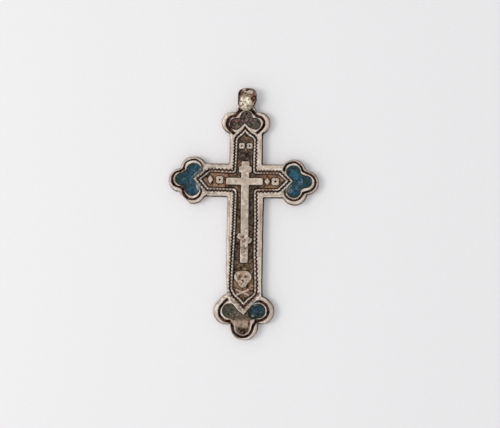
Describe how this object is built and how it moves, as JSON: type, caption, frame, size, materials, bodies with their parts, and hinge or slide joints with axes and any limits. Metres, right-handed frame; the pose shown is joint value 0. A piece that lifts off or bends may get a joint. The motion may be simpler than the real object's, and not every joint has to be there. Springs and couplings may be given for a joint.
{
  "type": "pectoral cross pendant",
  "caption": "Flat cast silver cross with trefoil ends, sunk enamel beds, raised relief on its face and a barrel loop for a cord.",
  "frame": {"origin": "middle of the outline's box, on the flat back that the cross lies on", "axes": "+X across the arms to the wearer's left as seen from the front, +Y up the cross to its loop, +Z out of the face"},
  "size_m": [0.0302, 0.0506, 0.0031],
  "materials": {
    "silver": "worn and tarnished cast silver",
    "dark_enamel": "weathered dark enamel",
    "blue_enamel": "glossy blue enamel",
    "teal_enamel": "glossy teal enamel",
    "grey_enamel": "worn grey enamel",
    "deep_blue_enamel": "glossy deep blue enamel"
  },
  "bodies": {
    "root": {"cross_body": "silver", "enamel_top": "dark_enamel", "enamel_left": "blue_enamel", "enamel_right": "teal_enamel", "enamel_bottom_left": "grey_enamel", "enamel_bottom_right": "deep_blue_enamel"}
  },
  "joints": []
}
